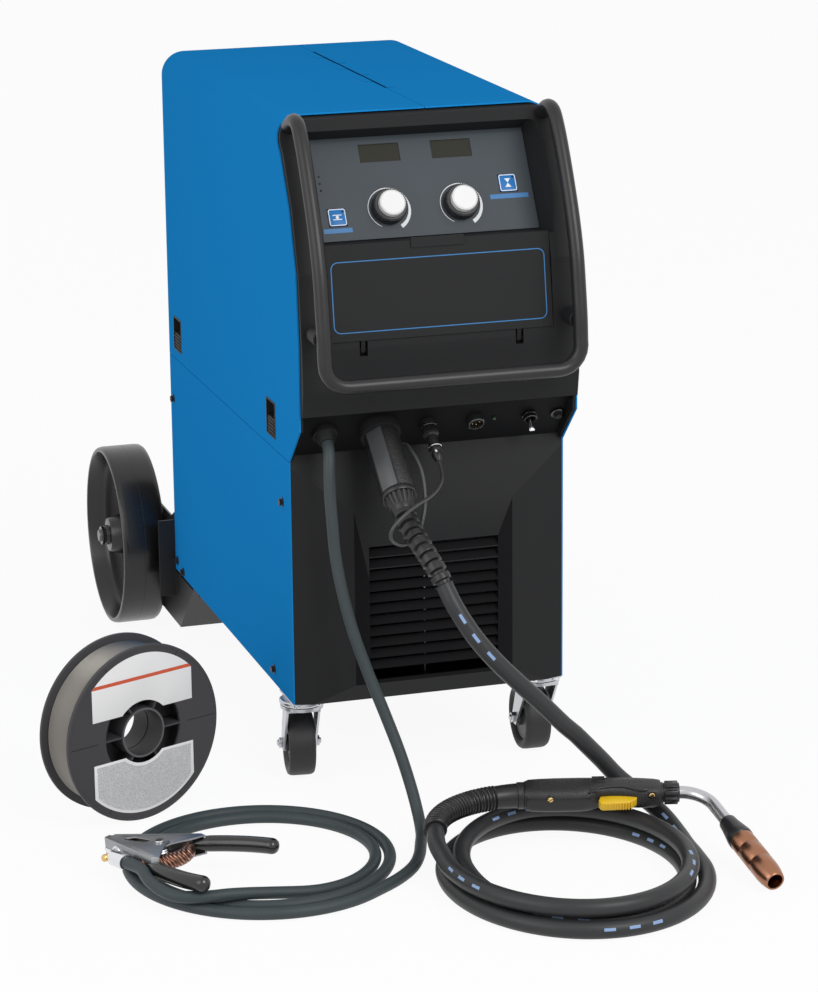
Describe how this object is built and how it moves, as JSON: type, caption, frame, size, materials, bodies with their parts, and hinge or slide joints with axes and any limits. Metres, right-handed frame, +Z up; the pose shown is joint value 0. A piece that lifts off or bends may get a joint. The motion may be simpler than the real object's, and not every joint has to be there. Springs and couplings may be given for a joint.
{
  "type": "mig welder on cart",
  "caption": "Wheeled wire-feed welding machine with control panel, loading door, cylinder tray, coiled gun and work cables, clamp and a wire spool.",
  "frame": {"origin": "centre of the base of the machine, its tray and the spool beside it, on the floor, cords left out", "axes": "+Z up, the controls face -Y, the loading door is on -X"},
  "size_m": [0.6948, 1.4191, 0.767],
  "materials": {
    "blue_paint": "semi-gloss fine texture",
    "black_paint": "satin",
    "black_moulding": "fine texture",
    "panel_face": "satin film",
    "lcd": "dark lens",
    "knob_white": "white cap on a black base",
    "button_blue": "satin",
    "zinc_plate": "zinc plated",
    "steel": "plain",
    "iron": "laminated core with copper windings",
    "board": "circuit board with parts",
    "aluminium_sheet": "plain",
    "caster_rubber": "matt",
    "wheel_rubber": "matt",
    "gun_black": "fine texture",
    "cable_black": "matt",
    "cable_grey": "matt",
    "trigger_yellow": "gloss",
    "copper": "polished copper",
    "brass": "plain",
    "wire_grey": "drawn wire",
    "spool_black": "satin"
  },
  "bodies": {
    "cabinet": {"base_pan": "black_paint", "right_wrapper": "blue_paint", "lower_left_panel": "blue_paint", "rear_panel": "black_paint", "lower_front": "black_moulding", "front_bezel": "black_moulding", "control_panel": "panel_face", "display_windows": "lcd", "carry_handle": "black_paint", "sockets": "black_moulding", "screws": "black_paint", "centre_divider": "aluminium_sheet", "transformer": "iron", "power_board": "board", "fan_motor": "steel", "wire_drive": "black_moulding", "caster_plates": "zinc_plate", "running_gear": "black_paint", "stub_axles": "zinc_plate", "cylinder_bracket": "black_paint", "rear_fittings": "brass", "gun_connector": "gun_black", "strain_relief": "gun_black", "gun_cable_run": "cable_black", "gun_cable_coil": "cable_black", "gun_boot": "gun_black", "gun_grip": "gun_black", "gun_neck": "steel", "gun_nozzle": "copper", "trigger_lead": "cable_black", "trigger_plug": "gun_black", "work_cable_run": "cable_grey", "work_cable_coil": "cable_grey", "work_clamp_base": "zinc_plate"},
    "door": {"loading_door": "blue_paint"},
    "latch_front_body": {"latch_front": "black_moulding"},
    "latch_rear_body": {"latch_rear": "black_moulding"},
    "flap": {"front_flap": "black_moulding"},
    "knob_left_body": {"knob_left": "knob_white"},
    "knob_right_body": {"knob_right": "knob_white"},
    "button_left_body": {"button_left": "button_blue"},
    "button_right_body": {"button_right": "button_blue"},
    "switch_lever": {"power_switch": "zinc_plate"},
    "breaker_plunger": {"breaker_button": "black_moulding"},
    "fan": {"fan_blade": "black_moulding"},
    "drive_roll_body": {"drive_roll": "steel"},
    "pressure_arm_body": {"pressure_arm": "black_moulding"},
    "idler_roll_body": {"idler_roll": "steel"},
    "tension_knob_body": {"tension_knob": "black_moulding"},
    "hub": {"spool_hub": "black_moulding"},
    "caster_left": {"caster_fork_left": "zinc_plate"},
    "caster_right": {"caster_fork_right": "zinc_plate"},
    "caster_left_wheel": {"caster_wheel_left": "caster_rubber"},
    "caster_right_wheel": {"caster_wheel_right": "caster_rubber"},
    "rear_left_wheel": {"rear_wheel_left": "wheel_rubber"},
    "rear_right_wheel": {"rear_wheel_right": "wheel_rubber"},
    "trigger": {"gun_trigger": "trigger_yellow"},
    "clamp_jaw": {"work_clamp_jaw": "zinc_plate"},
    "spool": {"wire_spool": "spool_black", "spool_wire": "wire_grey"}
  },
  "joints": [
    {"name": "door_hinge", "type": "hinge", "parent": "cabinet", "child": "door", "pos_m": [0.12493, -0.0615, 0.7628], "axis": [0, 1, 0], "range_deg": [0, 100]},
    {"name": "latch_front_slide", "type": "slide", "parent": "door", "child": "latch_front_body", "axis": [0, 0, 1], "range_m": [0, 0.01]},
    {"name": "latch_rear_slide", "type": "slide", "parent": "door", "child": "latch_rear_body", "axis": [0, 0, 1], "range_m": [0, 0.01]},
    {"name": "flap_hinge", "type": "hinge", "parent": "cabinet", "child": "flap", "pos_m": [0.11093, -0.4515, 0.517], "axis": [1, 0, 0], "range_deg": [0, 92]},
    {"name": "knob_left_turn", "type": "hinge", "parent": "cabinet", "child": "knob_left_body", "pos_m": [0.06993, -0.3962, 0.6575], "axis": [0, -0.8572, 0.515], "range_deg": [-140, 140]},
    {"name": "knob_right_turn", "type": "hinge", "parent": "cabinet", "child": "knob_right_body", "pos_m": [0.15193, -0.3962, 0.6575], "axis": [0, -0.8572, 0.515], "range_deg": [-140, 140]},
    {"name": "button_left_press", "type": "slide", "parent": "cabinet", "child": "button_left_body", "axis": [0, 0.8572, -0.515], "range_m": [0, 0.0008], "stiffness_N_per_m": 500},
    {"name": "button_right_press", "type": "slide", "parent": "cabinet", "child": "button_right_body", "axis": [0, 0.8572, -0.515], "range_m": [0, 0.0008], "stiffness_N_per_m": 500},
    {"name": "power_switch_toggle", "type": "hinge", "parent": "cabinet", "child": "switch_lever", "pos_m": [0.22293, -0.41994, 0.421], "axis": [1, 0, 0], "range_deg": [-36, 0]},
    {"name": "breaker_press", "type": "slide", "parent": "cabinet", "child": "breaker_plunger", "axis": [0, 0.788, 0.6157], "range_m": [0, 0.002], "stiffness_N_per_m": 300},
    {"name": "fan_spin", "type": "hinge", "parent": "cabinet", "child": "fan", "pos_m": [0.19738, 0.1085, 0.3], "axis": [0, 1, 0], "continuous": true},
    {"name": "drive_roll_spin", "type": "hinge", "parent": "cabinet", "child": "drive_roll_body", "pos_m": [0.04893, -0.2815, 0.4354], "axis": [1, 0, 0], "continuous": true},
    {"name": "pressure_arm_hinge", "type": "hinge", "parent": "cabinet", "child": "pressure_arm_body", "pos_m": [0.04893, -0.2415, 0.463], "axis": [-1, 0, 0], "range_deg": [0, 60]},
    {"name": "idler_roll_spin", "type": "hinge", "parent": "pressure_arm_body", "child": "idler_roll_body", "pos_m": [0.04893, -0.2815, 0.4666], "axis": [1, 0, 0], "continuous": true},
    {"name": "tension_knob_turn", "type": "hinge", "parent": "pressure_arm_body", "child": "tension_knob_body", "pos_m": [0.04893, -0.3165, 0.491], "axis": [0, 0, 1], "continuous": true},
    {"name": "hub_spin", "type": "hinge", "parent": "cabinet", "child": "hub", "pos_m": [0.09093, -0.0115, 0.585], "axis": [1, 0, 0], "continuous": true},
    {"name": "caster_left_swivel", "type": "hinge", "parent": "cabinet", "child": "caster_left", "pos_m": [-0.03007, -0.3695, 0.095], "axis": [0, 0, 1], "continuous": true},
    {"name": "caster_left_roll", "type": "hinge", "parent": "caster_left", "child": "caster_left_wheel", "pos_m": [-0.02561, -0.33781, 0.038], "axis": [0.9903, -0.1392, 0], "continuous": true},
    {"name": "caster_right_swivel", "type": "hinge", "parent": "cabinet", "child": "caster_right", "pos_m": [0.25193, -0.3695, 0.095], "axis": [0, 0, 1], "continuous": true},
    {"name": "caster_right_roll", "type": "hinge", "parent": "caster_right", "child": "caster_right_wheel", "pos_m": [0.25305, -0.33752, 0.038], "axis": [0.9994, -0.0349, 0], "continuous": true},
    {"name": "rear_left_roll", "type": "hinge", "parent": "cabinet", "child": "rear_left_wheel", "pos_m": [-0.07957, 0.3035, 0.115], "axis": [1, 0, 0], "continuous": true},
    {"name": "rear_right_roll", "type": "hinge", "parent": "cabinet", "child": "rear_right_wheel", "pos_m": [0.30143, 0.3035, 0.115], "axis": [1, 0, 0], "continuous": true},
    {"name": "gun_trigger_pull", "type": "hinge", "parent": "cabinet", "child": "trigger", "pos_m": [0.25543, -0.67025, 0.05352], "axis": [0.0727, 0.2659, -0.9613], "range_deg": [0, 6], "stiffness_Nm_per_rad": 0.2},
    {"name": "clamp_open", "type": "hinge", "parent": "cabinet", "child": "clamp_jaw", "pos_m": [-0.25007, -0.6025, 0.029], "axis": [0.0504, -0.0601, -0.9969], "range_deg": [0, 45], "stiffness_Nm_per_rad": 0.4, "springref_deg": -28.65},
    {"name": "spool_lift", "type": "slide", "parent": "cabinet", "child": "spool", "axis": [0, 0, 1], "range_m": [0, 0.3]}
  ],
  "couplings": [
    {"joint": "idler_roll_spin", "follows": "drive_roll_spin", "ratio": -1}
  ]
}
